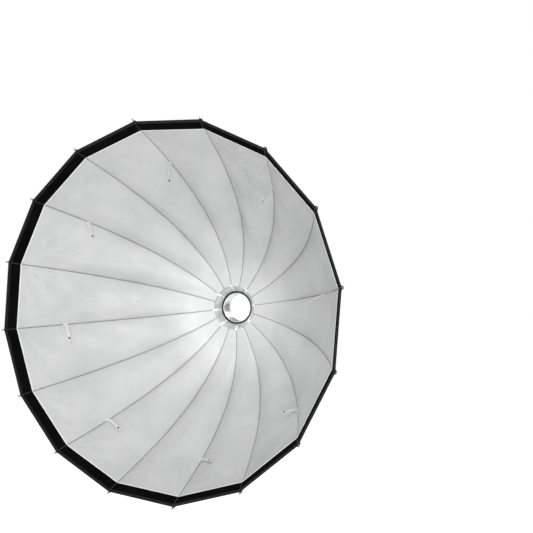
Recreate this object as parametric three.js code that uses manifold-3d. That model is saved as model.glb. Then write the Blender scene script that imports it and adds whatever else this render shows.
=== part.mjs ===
// A deep parabolic softbox of sixteen ribs and sixteen gores, open and locked.
// Millimetres. The row frame has +Z up; the dish opens towards -Y and the flash head goes on at +Y.
// The origin is the middle of the bayonet insert's back face, which is the face that meets the head.
// Everything is drawn with the dish's axis along local +Z ("depth") and turned once, at the end.
import * as THREE from 'three';
import { mergeVertices } from 'three/addons/utils/BufferGeometryUtils.js';
import Module from 'manifold-3d';

const wasm = await Module();
wasm.setup();

// Driving dimensions.
const RIB_COUNT = 16;
const RIM_RADIUS = 592; // lining's edge at a rib
const LIP_OUT = 18; // the black lip runs on past the lining by this much outwards
const LIP_FORWARD = 41; // and by this much forwards
const THROAT_DEPTH = 86; // where the lining's curve would meet the axis
const BOWL_RISE = 590; // from there to the rim
const BOWL_POWER = 2.65; // how late the wall turns forward
const FIRST_RIB_DEGREES = 96.75; // clocking of rib_01; the others follow clockwise
const PIVOT_RADIUS = 88; // the ring of wire that the ribs hinge on
const PIVOT_DEPTH = 79;
const TUBE_RADIUS = 59; // outside of the insert's tube, which the lamp shines through
const TUBE_WALL = 3;
const TUBE_LENGTH = 58; // its front edge, measured from the insert's back face
const INSERT_FLANGE_RADIUS = 76;
const INSERT_FLANGE_THICKNESS = 11.5;
const HOUSING_RADIUS = 78;
const FLANGE_RADIUS = PIVOT_RADIUS + 8; // the rib ring's slotted flange
const CLOTH = 1.6;
const GAP = 0.4; // between pieces that touch

const GORE_HOLLOW = 24; // how far a gore's middle is drawn in towards the axis, at most
const HOLLOW_START = 170; // radius inside which a gore is flat across
const HOLLOW_POWER = 1.3;
const GORE_COLUMNS = [-1, -0.55, 0, 0.55, 1]; // shares of a gore's half width
const GORE_STEPS = 11;
const ROD_STEPS = 13;
const STATION_POWER = 0.8; // below 1, a wall's stations draw closer together towards the rim

const SHOE_WIDTH = 7; // the rib's hinge shoe
const SHOE_END = PIVOT_RADIUS + 18; // radius where the shoe's bar ends
const SHOE_THICKNESS = 5;
const SHOE_TILT = Math.atan2(8, 21); // the bar slopes forward towards the rod
const EYE_RADIUS = 4.2;
const EYE_HOLE_RADIUS = 2.1;
const WIRE_RADIUS = 1.3;
const TIP_LENGTH = 16; // the rib's pointed end cap
const TIP_OVERLAP = 4; // how much of it is round the rod
const TIP_POINT_RADIUS = 0.9;

const KNOB_DEPTH = 30;
const KNOB_ANGLE = -Math.PI / 2;
const KNOB_START = 84; // radius of its head's inner face
const KNOB_THICKNESS = 14;
const SPINDLE_RADIUS = 4;
const SPINDLE_HOLE_RADIUS = 4.6;
const STRAP_RADIUS = 516; // where the diffuser's straps are sewn, on every other rib
const STRAP_WIDTH = 12;
const STRAP_STAND_OFF = 2.5; // of its sewn end from the lining's face
const STRAP_RISE = 6; // it leaves the lining squarely by this much
const STRAP_TURN = 5; // and then has gone this far the way it lies

// How each strap lies: its direction as radial, hoop (anticlockwise) and forward shares, and its length.
const STRAP_LIES = [
  [-0.98, 0.17, 0.09, 76],
  [-0.84, -0.23, 0.48, 76],
  [-0.8, -0.33, 0.5, 74],
  [-0.45, -0.52, 0.72, 56],
  [0.03, 0.82, 0.57, 80],
  [-0.16, 0.96, 0.23, 80],
  [-0.27, 0.94, 0.2, 76],
  [-0.84, 0.45, 0.28, 76],
];

// Worked out from those.
const RIB_STEP = (2 * Math.PI) / RIB_COUNT;
const HALF_GORE = RIB_STEP / 2;
const FIRST_RIB = THREE.MathUtils.degToRad(FIRST_RIB_DEGREES);
const LIP_RADIUS = RIM_RADIUS + LIP_OUT;
const RIM_DEPTH = THROAT_DEPTH + BOWL_RISE;
const LIP_DEPTH = RIM_DEPTH + LIP_FORWARD;
const COLLAR_RADIUS = PIVOT_RADIUS - 5;
const LINING_START = COLLAR_RADIUS + 2; // the lining's inner edge
const ROD_RADIUS = 2.6;
const ROD_OFFSET = CLOTH + ROD_RADIUS + 2 * GAP; // rod's centre behind the lining's face
const SLOT_WIDTH = SHOE_WIDTH + 2;
const SLOT_FLOOR = PIVOT_DEPTH - EYE_RADIUS - 1.3;
const FLANGE_TOP = PIVOT_DEPTH + 2.5;
const WIRE_GROOVE_FLOOR = PIVOT_DEPTH - WIRE_RADIUS - 0.5;
const HOUSING_BORE = TUBE_RADIUS + 1;
const BARREL_BACK = INSERT_FLANGE_THICKNESS + 0.5;
const BARREL_FRONT = 44; // the retaining ring bears on this face
const RIB_RING_BORE = 65.5;
const RETAINER_FRONT = 59.4;

const colours = {
  housing: new THREE.MeshStandardMaterial({ color: 0x2a2b2d, roughness: 0.5, metalness: 0.6 }),
  insert: new THREE.MeshStandardMaterial({ color: 0xc9cacb, roughness: 0.35, metalness: 0.9 }),
  collar: new THREE.MeshStandardMaterial({ color: 0x9a9b9c, roughness: 0.45, metalness: 0.8 }),
  steel: new THREE.MeshStandardMaterial({ color: 0x8d9093, roughness: 0.3, metalness: 1.0 }),
  blackSteel: new THREE.MeshStandardMaterial({ color: 0x161617, roughness: 0.45, metalness: 0.7 }),
  rib: new THREE.MeshStandardMaterial({ color: 0x7e8184, roughness: 0.4, metalness: 0.7 }),
  knob: new THREE.MeshStandardMaterial({ color: 0x151515, roughness: 0.6, metalness: 0.0 }),
  blackCloth: new THREE.MeshStandardMaterial({ color: 0x0b0b0c, roughness: 0.9, metalness: 0.0 }),
  lining: new THREE.MeshStandardMaterial({ color: 0xd4d5d4, roughness: 0.4, metalness: 0.35 }),
  whiteTape: new THREE.MeshStandardMaterial({ color: 0xe9e9e7, roughness: 0.8, metalness: 0.0 }),
};

const softbox = new THREE.Group();
softbox.rotation.x = Math.PI / 2;

function add(name, geometry, material, turn = 0) {
  const mesh = new THREE.Mesh(geometry, material);
  mesh.name = name;
  mesh.rotation.z = turn;
  softbox.add(mesh);
}

function numbered(word, index) {
  return `${word}_${String(index + 1).padStart(2, '0')}`;
}

function ribAngle(index) {
  return FIRST_RIB - index * RIB_STEP;
}

// Booleans.
function toSolid(geometry) {
  const bare = geometry.clone();
  bare.deleteAttribute('normal');
  bare.deleteAttribute('uv');
  const merged = mergeVertices(bare, 1e-4);
  return new wasm.Manifold(new wasm.Mesh({
    numProp: 3,
    vertProperties: new Float32Array(merged.attributes.position.array),
    triVerts: new Uint32Array(merged.index.array),
  }));
}

function toGeometry(solid) {
  const mesh = solid.getMesh();
  const geometry = new THREE.BufferGeometry();
  geometry.setAttribute('position', new THREE.BufferAttribute(new Float32Array(mesh.vertProperties), 3));
  geometry.setIndex(new THREE.BufferAttribute(new Uint32Array(mesh.triVerts), 1));
  return geometry;
}

function join(base, pieces) {
  return toGeometry(pieces.reduce((solid, piece) => solid.add(toSolid(piece)), toSolid(base)));
}

function cut(base, pieces) {
  return toGeometry(pieces.reduce((solid, piece) => solid.subtract(toSolid(piece)), toSolid(base)));
}

// A ring about the axis, from its [radius, depth] outline, which closes on itself.
function ring(outline, segments = 48) {
  const points = [...outline, outline[0]].map(([radius, depth]) => new THREE.Vector2(radius, depth));
  const geometry = new THREE.LatheGeometry(points, segments);
  geometry.rotateX(Math.PI / 2);
  return geometry;
}

function block(sizes, centre) {
  const geometry = new THREE.BoxGeometry(...sizes);
  geometry.translate(...centre);
  return geometry;
}

// The lining's curve in a rib's plane.
function liningPoint(radius) {
  const depth = THROAT_DEPTH + BOWL_RISE * Math.pow(radius / RIM_RADIUS, BOWL_POWER);
  return new THREE.Vector2(radius, depth);
}

function liningSlope(radius) {
  const slope = (BOWL_RISE * BOWL_POWER / RIM_RADIUS) * Math.pow(radius / RIM_RADIUS, BOWL_POWER - 1);
  return new THREE.Vector2(1, slope).normalize();
}

const lipSlope = new THREE.Vector2(LIP_OUT, LIP_FORWARD).normalize();

// Points along a rib's plane from the throat to the lip's edge, each with its direction there.
function wallStations(startRadius, steps) {
  const stations = [];
  for (let step = 0; step <= steps; step += 1) {
    const share = Math.pow(step / steps, STATION_POWER);
    const radius = startRadius + (RIM_RADIUS - startRadius) * share;
    stations.push({ point: liningPoint(radius), along: liningSlope(radius) });
  }
  stations[steps].along.add(lipSlope).normalize();
  stations.push({ point: new THREE.Vector2(LIP_RADIUS, LIP_DEPTH), along: lipSlope.clone() });
  return stations;
}

// One gore: a thin closed shell between two ribs, with its middle drawn in a little towards the axis.
function goreGeometry() {
  const rows = wallStations(LINING_START, GORE_STEPS).map(({ point, along }) => {
    const inward = new THREE.Vector3(-along.y, 0, along.x);
    const toRim = THREE.MathUtils.clamp((point.x - HOLLOW_START) / (RIM_RADIUS - HOLLOW_START), 0, 1);
    const sag = GORE_HOLLOW * Math.pow(Math.max(Math.sin(Math.PI * toRim), 0), HOLLOW_POWER);
    const halfWidth = point.x * Math.sin(HALF_GORE) - GAP;
    return GORE_COLUMNS.map((side) => {
      const face = new THREE.Vector3(point.x * Math.cos(HALF_GORE), side * halfWidth, point.y);
      face.addScaledVector(inward, sag * (1 - side * side));
      return { inner: face, outer: face.clone().addScaledVector(inward, -CLOTH) };
    });
  });
  return sheetShell(rows);
}

// A closed shell from rows of { inner, outer } points; both faces and all four edges.
function sheetShell(rows) {
  const columns = rows[0].length;
  const layer = rows.length * columns;
  const positions = [];
  for (const key of ['inner', 'outer']) {
    rows.flat().forEach((pair) => positions.push(...pair[key].toArray()));
  }
  const index = [];
  const at = (row, column, outer) => row * columns + column + (outer ? layer : 0);
  const quad = (a, b, c, d) => index.push(a, b, c, a, c, d);
  for (let row = 0; row + 1 < rows.length; row += 1) {
    for (let column = 0; column + 1 < columns; column += 1) {
      quad(at(row, column, 0), at(row + 1, column, 0), at(row + 1, column + 1, 0), at(row, column + 1, 0));
      quad(at(row, column, 1), at(row, column + 1, 1), at(row + 1, column + 1, 1), at(row + 1, column, 1));
    }
    const last = columns - 1;
    quad(at(row, 0, 1), at(row + 1, 0, 1), at(row + 1, 0, 0), at(row, 0, 0));
    quad(at(row, last, 0), at(row + 1, last, 0), at(row + 1, last, 1), at(row, last, 1));
  }
  for (let column = 0; column + 1 < columns; column += 1) {
    const end = rows.length - 1;
    quad(at(0, column, 0), at(0, column + 1, 0), at(0, column + 1, 1), at(0, column, 1));
    quad(at(end, column, 1), at(end, column + 1, 1), at(end, column + 1, 0), at(end, column, 0));
  }
  const geometry = new THREE.BufferGeometry();
  geometry.setAttribute('position', new THREE.Float32BufferAttribute(positions, 3));
  geometry.setIndex(index);
  return geometry;
}

// One rib, drawn in the XZ plane: hinge shoe, curved rod behind the lining, and pointed end cap.
function ribGeometry() {
  const stations = wallStations(SHOE_END, ROD_STEPS).map(({ point, along }) => {
    return new THREE.Vector3(point.x + along.y * ROD_OFFSET, 0, point.y - along.x * ROD_OFFSET);
  });
  const insideShoe = new THREE.Vector3(SHOE_END - 8, 0, PIVOT_DEPTH + 4.4);
  const rod = sweep([insideShoe, ...stations], ROD_RADIUS);

  const eye = new THREE.CylinderGeometry(EYE_RADIUS, EYE_RADIUS, SHOE_WIDTH, 10);
  eye.translate(PIVOT_RADIUS, 0, PIVOT_DEPTH);
  const barLength = (SHOE_END - PIVOT_RADIUS) / Math.cos(SHOE_TILT);
  const bar = block([barLength, SHOE_WIDTH, SHOE_THICKNESS], [barLength / 2, 0, 0]);
  bar.rotateY(-SHOE_TILT);
  bar.translate(PIVOT_RADIUS, 0, PIVOT_DEPTH);
  const hole = new THREE.CylinderGeometry(EYE_HOLE_RADIUS, EYE_HOLE_RADIUS, SHOE_WIDTH * 2, 8);
  hole.translate(PIVOT_RADIUS, 0, PIVOT_DEPTH);
  return cut(join(rod, [eye, bar, endCap(stations[stations.length - 1])]), [hole]);
}

// The rib's pointed end cap, which runs on past the lip's corner from the rod's end.
function endCap(end) {
  const cap = new THREE.CylinderGeometry(TIP_POINT_RADIUS, ROD_RADIUS + 1, TIP_LENGTH, 6);
  cap.translate(0, TIP_LENGTH / 2 - TIP_OVERLAP, 0);
  cap.rotateX(Math.PI / 2);
  cap.rotateY(Math.atan2(lipSlope.x, lipSlope.y));
  cap.translate(end.x, 0, end.z);
  return cap;
}

// A six-sided bar along points that lie in the XZ plane.
function sweep(points, radius) {
  const sides = 6;
  const sideways = new THREE.Vector3(0, 1, 0);
  const positions = [];
  const index = [];
  points.forEach((point, step) => {
    const before = points[Math.max(step - 1, 0)];
    const after = points[Math.min(step + 1, points.length - 1)];
    const across = after.clone().sub(before).normalize().cross(sideways);
    for (let side = 0; side < sides; side += 1) {
      const angle = (side * 2 * Math.PI) / sides;
      const place = point.clone();
      place.addScaledVector(sideways, radius * Math.cos(angle));
      place.addScaledVector(across, radius * Math.sin(angle));
      positions.push(...place.toArray());
    }
  });
  for (let step = 0; step + 1 < points.length; step += 1) {
    for (let side = 0; side < sides; side += 1) {
      const a = step * sides + side;
      const b = step * sides + ((side + 1) % sides);
      index.push(a, b, b + sides, a, b + sides, a + sides);
    }
  }
  const last = (points.length - 1) * sides;
  for (let side = 1; side + 1 < sides; side += 1) {
    index.push(0, side + 1, side);
    index.push(last, last + side, last + side + 1);
  }
  const geometry = new THREE.BufferGeometry();
  geometry.setAttribute('position', new THREE.Float32BufferAttribute(positions, 3));
  geometry.setIndex(index);
  return geometry;
}

// A hanging strap of the inner diffuser, drawn in its rib's plane. The direction is radial, along the
// hoop, and forwards. It leaves the lining squarely and then goes the way it lies.
function strapGeometry(direction, length) {
  const root = liningPoint(STRAP_RADIUS);
  const along = liningSlope(STRAP_RADIUS);
  const inward = new THREE.Vector3(-along.y, 0, along.x);
  const lie = new THREE.Vector3(...direction).normalize();
  const start = new THREE.Vector3(root.x, 0, root.y).addScaledVector(inward, STRAP_STAND_OFF);
  const bend = start.clone().addScaledVector(inward, STRAP_RISE).addScaledVector(lie, STRAP_TURN);
  const end = bend.clone().addScaledVector(lie, length - 2 * STRAP_TURN);
  const path = [start, bend, end];
  const rows = path.map((point, step) => {
    const heading = path[Math.min(step + 1, 2)].clone().sub(path[Math.max(step - 1, 0)]).normalize();
    const width = new THREE.Vector3(along.x, 0, along.y);
    width.addScaledVector(heading, -width.dot(heading)).normalize();
    const facing = heading.clone().cross(width).normalize();
    return [-1, 1].map((side) => {
      const edge = point.clone().addScaledVector(width, (side * STRAP_WIDTH) / 2);
      const inner = edge.clone().addScaledVector(facing, CLOTH / 2);
      return { inner, outer: edge.addScaledVector(facing, -CLOTH / 2) };
    });
  });
  return sheetShell(rows);
}

// A tie that holds the lining's edge down over the collar, in its rib's plane.
function tieGeometry() {
  const halfWidth = 4;
  const thickness = new THREE.Vector3(1, 0, -0.6);
  const path = [[RIB_RING_BORE + 0.6, 65.3], [COLLAR_RADIUS - 2.2, 85.2], [COLLAR_RADIUS - 0.2, 89.5]];
  const rows = path.map(([radius, depth]) => [-1, 1].map((side) => {
    const inner = new THREE.Vector3(radius, side * halfWidth, depth);
    return { inner, outer: inner.clone().add(thickness) };
  }));
  return sheetShell(rows);
}

// The back half of the housing: a plain barrel with a hole for the clamp screw.
function barrelGeometry() {
  const outline = [
    [HOUSING_BORE, BARREL_BACK], [HOUSING_RADIUS, BARREL_BACK],
    [HOUSING_RADIUS, BARREL_FRONT], [HOUSING_BORE, BARREL_FRONT],
  ];
  const screwHole = new THREE.CylinderGeometry(SPINDLE_HOLE_RADIUS, SPINDLE_HOLE_RADIUS, 30, 16);
  screwHole.rotateZ(Math.PI / 2);
  screwHole.translate((HOUSING_BORE + HOUSING_RADIUS) / 2, 0, KNOB_DEPTH);
  screwHole.rotateZ(KNOB_ANGLE);
  return cut(ring(outline), [screwHole]);
}

// The front half, which carries the ribs in its slotted flange and the hinge wire in a groove.
function ribRingGeometry() {
  const grooveOut = PIVOT_RADIUS + 2;
  const grooveIn = PIVOT_RADIUS - 2;
  const outline = [
    [RIB_RING_BORE, BARREL_FRONT + GAP], [HOUSING_RADIUS, BARREL_FRONT + GAP],
    [HOUSING_RADIUS, 58], [FLANGE_RADIUS, 66], [FLANGE_RADIUS, FLANGE_TOP],
    [grooveOut, FLANGE_TOP], [grooveOut, WIRE_GROOVE_FLOOR],
    [grooveIn, WIRE_GROOVE_FLOOR], [grooveIn, FLANGE_TOP],
    [COLLAR_RADIUS + 0.6, FLANGE_TOP], [RIB_RING_BORE, 56.3],
  ];
  return cut(ring(outline), slots(SLOT_FLOOR));
}

// Sixteen radial slots, open outwards and forwards from the given depth.
function slots(floor) {
  const length = 18;
  const height = 20;
  return Array.from({ length: RIB_COUNT }, (_, index) => {
    const centre = [COLLAR_RADIUS + 0.2 + length / 2, 0, floor + height / 2];
    const slot = block([length, SLOT_WIDTH, height], centre);
    slot.rotateZ(ribAngle(index));
    return slot;
  });
}

// The sloping cover ring in front of the housing; its flange keeps the hinge wire in its groove.
function collarGeometry() {
  const back = FLANGE_TOP + GAP;
  const front = FLANGE_TOP + 2.3;
  const inner = RIB_RING_BORE + 0.3;
  const outer = FLANGE_RADIUS - 0.5;
  const outline = [
    [inner, 57.6], [COLLAR_RADIUS + 0.4, back], [outer, back],
    [outer, front], [COLLAR_RADIUS - 0.6, front], [inner, 61],
  ];
  return cut(ring(outline), slots(FLANGE_TOP - 5));
}

function hingeWireGeometry() {
  const outline = Array.from({ length: 6 }, (_, side) => {
    const angle = (side * Math.PI) / 3;
    return [PIVOT_RADIUS + WIRE_RADIUS * Math.cos(angle), PIVOT_DEPTH + WIRE_RADIUS * Math.sin(angle)];
  });
  return ring(outline);
}

// A spring-steel band round the flange with a finger under each rib's shoe.
function detentSpringGeometry() {
  const inner = FLANGE_RADIUS + 0.6;
  const outer = inner + 0.9;
  const back = WIRE_GROOVE_FLOOR - 9.2;
  const fingerSizes = [4.7, 5, 1];
  const fingerCentre = [inner + 0.6 - fingerSizes[0] / 2, 0, WIRE_GROOVE_FLOOR - fingerSizes[2] / 2];
  const band = ring([[inner, back], [outer, back], [outer, WIRE_GROOVE_FLOOR], [inner, WIRE_GROOVE_FLOOR]]);
  const fingers = Array.from({ length: RIB_COUNT }, (_, index) => {
    const finger = block(fingerSizes, fingerCentre);
    finger.rotateZ(ribAngle(index));
    return finger;
  });
  return join(band, fingers);
}

// Bayonet flange with three lugs, which goes into the flash head's ring.
function insertFlangeGeometry() {
  const lugCount = 3;
  const lugSizes = [8, 22, 4.2];
  const inside = TUBE_RADIUS - TUBE_WALL;
  const outline = [
    [inside, 0], [INSERT_FLANGE_RADIUS, 0],
    [INSERT_FLANGE_RADIUS, INSERT_FLANGE_THICKNESS], [inside, INSERT_FLANGE_THICKNESS],
  ];
  const lugs = Array.from({ length: lugCount }, (_, index) => {
    const lug = block(lugSizes, [INSERT_FLANGE_RADIUS, 0, lugSizes[2] / 2]);
    lug.rotateZ(Math.PI / 2 + (index * 2 * Math.PI) / lugCount);
    return lug;
  });
  return join(ring(outline), lugs);
}

// The tube on that flange, which the housing turns on and the lamp shines through.
function insertTubeGeometry() {
  const inside = TUBE_RADIUS - TUBE_WALL;
  const back = INSERT_FLANGE_THICKNESS + GAP / 2;
  return ring([[inside, back], [TUBE_RADIUS, back], [TUBE_RADIUS, TUBE_LENGTH], [inside, TUBE_LENGTH]]);
}

function retainingRingGeometry() {
  const inside = TUBE_RADIUS + 0.35;
  const outside = RIB_RING_BORE - 0.5;
  const back = BARREL_FRONT + 0.5;
  return ring([[inside, back], [outside, back], [outside, RETAINER_FRONT], [inside, RETAINER_FRONT]]);
}

// The clamp screw that stops the housing turning on the insert, drawn along +X.
function knobGeometry() {
  const points = 36;
  const lobeCount = 6;
  const spindleStart = TUBE_RADIUS + 0.7;
  const spindleLength = 26;
  const outline = new THREE.Shape(Array.from({ length: points }, (_, step) => {
    const angle = (step * 2 * Math.PI) / points;
    const radius = 12.2 + 0.9 * Math.cos(lobeCount * angle);
    return new THREE.Vector2(radius * Math.cos(angle), radius * Math.sin(angle));
  }));
  const head = new THREE.ExtrudeGeometry(outline, { depth: KNOB_THICKNESS, bevelEnabled: false });
  head.translate(0, 0, KNOB_START);
  head.rotateY(Math.PI / 2);
  const spindle = new THREE.CylinderGeometry(SPINDLE_RADIUS, SPINDLE_RADIUS, spindleLength, 16);
  spindle.rotateZ(Math.PI / 2);
  spindle.translate(spindleStart + spindleLength / 2, 0, 0);
  return join(head, [spindle]);
}

// The black cloth neck that closes the back of the bowl round the housing.
function sleeveGeometry() {
  const inner = [
    [FLANGE_RADIUS + 25, 83.2], [FLANGE_RADIUS + 6, 76], [FLANGE_RADIUS + 3, 66],
    [HOUSING_RADIUS + 2, 55.5], [HOUSING_RADIUS + 2, 46],
  ];
  const thickness = CLOTH * 0.8;
  const outer = inner.map(([radius, depth]) => [radius + thickness, depth - thickness]);
  return ring([...inner, ...outer.reverse()]);
}

function buildHub() {
  add('insert_flange', insertFlangeGeometry(), colours.insert);
  add('insert_tube', insertTubeGeometry(), colours.insert);
  add('retaining_ring', retainingRingGeometry(), colours.blackSteel);
  add('housing_barrel', barrelGeometry(), colours.housing);
  add('rib_ring', ribRingGeometry(), colours.housing);
  add('front_collar', collarGeometry(), colours.collar);
  add('hinge_wire', hingeWireGeometry(), colours.steel);
  add('detent_spring', detentSpringGeometry(), colours.steel);
  add('rear_sleeve', sleeveGeometry(), colours.blackCloth);
  const knob = knobGeometry();
  knob.translate(0, 0, KNOB_DEPTH);
  add('clamp_knob', knob, colours.knob, KNOB_ANGLE);
}

function buildCanopy() {
  const rib = ribGeometry();
  const gore = goreGeometry();
  for (let index = 0; index < RIB_COUNT; index += 1) {
    add(numbered('rib', index), rib, colours.rib, ribAngle(index));
    add(numbered('gore', index), gore, colours.lining, ribAngle(index) - HALF_GORE);
  }
}

function buildStraps() {
  const tie = tieGeometry();
  STRAP_LIES.forEach(([radial, hoop, forward, length], index) => {
    const turn = ribAngle(2 * index);
    add(numbered('lining_tie', index), tie, colours.whiteTape, turn);
    const strap = strapGeometry([radial, hoop, forward], length);
    add(numbered('diffuser_strap', index), strap, colours.whiteTape, turn);
  });
}

buildHub();
buildCanopy();
buildStraps();

export default softbox;
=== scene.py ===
# A deep parabolic softbox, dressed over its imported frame: lining, black cloth, lip, pockets, ribs and hub.
# Metres, +Z up. The bowl's axis is Y and it opens towards -Y; "depth" below is how far forward, so -Y.
import math

import bpy
import numpy as np
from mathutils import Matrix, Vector


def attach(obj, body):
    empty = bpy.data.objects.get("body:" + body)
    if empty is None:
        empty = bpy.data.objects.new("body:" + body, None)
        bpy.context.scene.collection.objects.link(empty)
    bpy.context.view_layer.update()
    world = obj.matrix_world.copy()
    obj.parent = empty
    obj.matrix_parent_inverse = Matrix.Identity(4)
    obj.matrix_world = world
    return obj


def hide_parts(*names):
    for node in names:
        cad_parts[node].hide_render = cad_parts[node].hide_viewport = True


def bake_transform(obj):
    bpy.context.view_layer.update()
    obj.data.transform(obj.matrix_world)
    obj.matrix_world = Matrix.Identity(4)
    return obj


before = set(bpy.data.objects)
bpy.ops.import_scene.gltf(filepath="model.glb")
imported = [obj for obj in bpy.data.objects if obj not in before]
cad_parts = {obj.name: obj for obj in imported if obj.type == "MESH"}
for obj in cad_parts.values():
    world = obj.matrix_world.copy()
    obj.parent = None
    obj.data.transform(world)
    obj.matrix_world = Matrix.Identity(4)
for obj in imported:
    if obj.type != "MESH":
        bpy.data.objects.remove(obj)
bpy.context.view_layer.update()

# Driving dimensions, as the frame was drawn.
RIBS = 16
RIM_RADIUS = 0.592
LIP_OUT = 0.018
LIP_FORWARD = 0.041
THROAT_DEPTH = 0.086
BOWL_RISE = 0.590
BOWL_POWER = 2.65
FIRST_RIB = math.radians(96.75)
PIVOT_RADIUS = 0.088
PIVOT_DEPTH = 0.079
COLLAR_RADIUS = PIVOT_RADIUS - 0.005
LINING_START = COLLAR_RADIUS + 0.002
FLANGE_RADIUS = PIVOT_RADIUS + 0.008
HOLLOW = 0.024  # how far a gore's middle is drawn in towards the axis, at most
HOLLOW_START = 0.170  # radius inside which a gore is nearly flat across
HOLLOW_POWER = 1.3
WAVE_HEIGHT = 0.0007  # of the cloth's small waves, slack rings and corner creases
RING_HEIGHT = 0.00035
CREASE_HEIGHT = 0.0017
CREASE_REACH = 0.10
ROD_RADIUS = 0.0026
ROD_BACK = 0.005  # rod's centre behind the lining's face
STRAP_RADIUS = 0.516
STRAP_HALF_WIDTH = 0.0056
CROSS_SEAM_RADIUS = 0.215  # where the bowl's inner disc is sewn to its gores
KNOB_DEPTH = 0.030
KNOB_ANGLE = -math.pi / 2
KNOB_RADIUS = 0.0120

# How far behind the lining's face the layers outside it lie, and how thick the cloths are.
SHELL_BACK = 0.0029
POCKET_BACK = 0.0041
LINING_THICKNESS = 0.0004
SHELL_THICKNESS = 0.0004
FACING_THICKNESS = 0.0003
TAPE_THICKNESS = 0.0005
POCKET_THICKNESS = 0.0006

# The far end of a rib's hinge shoe: out from the pivot, and depth.
SHOE_BAR = [(0.0165, 0.0825), (0.0182, 0.0848), (0.0176, 0.0868), (0.0154, 0.0872)]

STEP = 2 * math.pi / RIBS
HALF = STEP / 2
LIP_LENGTH = math.hypot(LIP_OUT, LIP_FORWARD)
RIM_CHORD = 0.23  # a gore's width at the rim, for the weave of the tapes there
CENTRE_BORE = 0.00001  # a turned piece's axis, kept open by a hair so that its faces stay clean
VIEW_AZIMUTH = 25.22  # degrees from the bowl's axis towards +X
VIEW_ELEVATION = -0.352
CAMERA_PLACE = (1.1198, -2.6037, 0.0535)
CAMERA_LENS = 46.64
CAMERA_SHIFT = (0.0891, 0.0441)
FLOOR_HEIGHT = -1.1
LIT_POINT = (0, -0.4, 0)
LIGHT_DISTANCE = 4.5
AMBIENT = 0.29  # strength of the sky that lights the object, which the camera sees as white

# How each strap lies: radial, hoop (anticlockwise) and forward shares, and its length.
STRAP_LIES = [
    (-0.98, 0.17, 0.09, 0.076),
    (-0.84, -0.23, 0.48, 0.076),
    (-0.80, -0.33, 0.50, 0.074),
    (-0.45, -0.52, 0.72, 0.056),
    (0.03, 0.82, 0.57, 0.080),
    (-0.16, 0.96, 0.23, 0.080),
    (-0.27, 0.94, 0.20, 0.076),
    (-0.84, 0.45, 0.28, 0.076),
]


def numbered(word, index):
    return f"{word}_{index + 1:02d}"


def rib_angle(index):
    return FIRST_RIB - index * STEP


def turned(points, angle):
    """Points of a rib's own plane (radial, hoop, depth) placed in the row frame."""
    radial, hoop, depth = np.moveaxis(np.asarray(points, float), -1, 0)
    x = radial * math.cos(angle) - hoop * math.sin(angle)
    z = radial * math.sin(angle) + hoop * math.cos(angle)
    return np.stack([x, -depth, z], axis=-1)


def wall_table():
    """The wall's curve in a rib's plane, by arc length from the lining's inner edge."""
    radius = np.linspace(LINING_START, RIM_RADIUS, 600)
    depth = THROAT_DEPTH + BOWL_RISE * (radius / RIM_RADIUS) ** BOWL_POWER
    length = np.concatenate([[0], np.cumsum(np.hypot(np.diff(radius), np.diff(depth)))])
    return radius, depth, length


WALL_RADIUS, WALL_DEPTH, WALL_LENGTH = wall_table()
TO_RIM = WALL_LENGTH[-1]
TO_LIP = TO_RIM + LIP_LENGTH


def wall_at(s):
    """Radius, depth and direction of the wall at arc length s; past the rim it is the straight lip."""
    s = np.asarray(s, float)
    radius = np.interp(s, WALL_LENGTH, WALL_RADIUS)
    depth = np.interp(s, WALL_LENGTH, WALL_DEPTH)
    past = np.clip(s - TO_RIM, 0, None) / LIP_LENGTH
    radius, depth = radius + past * LIP_OUT, depth + past * LIP_FORWARD
    to_rim = np.minimum(radius, RIM_RADIUS) / RIM_RADIUS
    steep = BOWL_RISE * BOWL_POWER / RIM_RADIUS * to_rim ** (BOWL_POWER - 1)
    blend = np.clip((s - TO_RIM) / 0.004 + 0.5, 0, 1)
    out = (1 - blend) / np.hypot(1, steep) + blend * LIP_OUT / LIP_LENGTH
    forward = (1 - blend) * steep / np.hypot(1, steep) + blend * LIP_FORWARD / LIP_LENGTH
    size = np.hypot(out, forward)
    return radius, depth, out / size, forward / size


def arc_of(radius):
    return float(np.interp(radius, WALL_RADIUS, WALL_LENGTH))


def gore_width(s):
    return 2 * wall_at(s)[0] * math.sin(HALF)


def gore_relief(index, s, u):
    """How far the stretched cloth of one gore stands in from the straight chord between its ribs."""
    draw = np.random.default_rng(100 + index)
    across = (u - 0.5) * gore_width(s)
    radius = np.minimum(wall_at(s)[0], RIM_RADIUS)
    taut = np.sin(math.pi * np.clip(s / TO_RIM, 0, 1)) ** 0.8
    to_rim = np.clip((radius - HOLLOW_START) / (RIM_RADIUS - HOLLOW_START), 0, 1)
    hollow = np.clip(np.sin(math.pi * to_rim), 0, 1) ** HOLLOW_POWER
    crown = 1 - (2 * u - 1) ** 2
    relief = (HOLLOW * hollow + 0.0008 * taut) * crown
    fade = np.sin(math.pi * np.clip(u, 0, 1)) ** 0.7 * taut
    for _ in range(6):
        heading, wave, phase = draw.uniform(-0.9, 0.9), draw.uniform(0.05, 0.16), draw.uniform(0, 7)
        turn = (across * math.cos(heading) + s * math.sin(heading) * 0.6) * 2 * math.pi / wave
        relief = relief + WAVE_HEIGHT * fade * np.sin(turn + phase)
    relief = relief + slack_rings(draw, radius, u) * fade
    for side in (-1, 1):
        relief = relief + corner_creases(draw, side, across, s, fade)
    return relief


def slack_rings(draw, radius, u):
    """Faint rings of slack cloth inside the cross seam."""
    inner, pitch = 0.115, 0.019
    ring = np.clip((radius - inner) / 0.03, 0, 1) * np.clip((CROSS_SEAM_RADIUS - radius) / 0.02, 0, 1)
    slack = 0.5 + 0.5 * np.sin(u * 5 + draw.uniform(0, 7))
    return RING_HEIGHT * ring * slack * np.sin(radius * 2 * math.pi / pitch + draw.uniform(0, 2))


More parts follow.
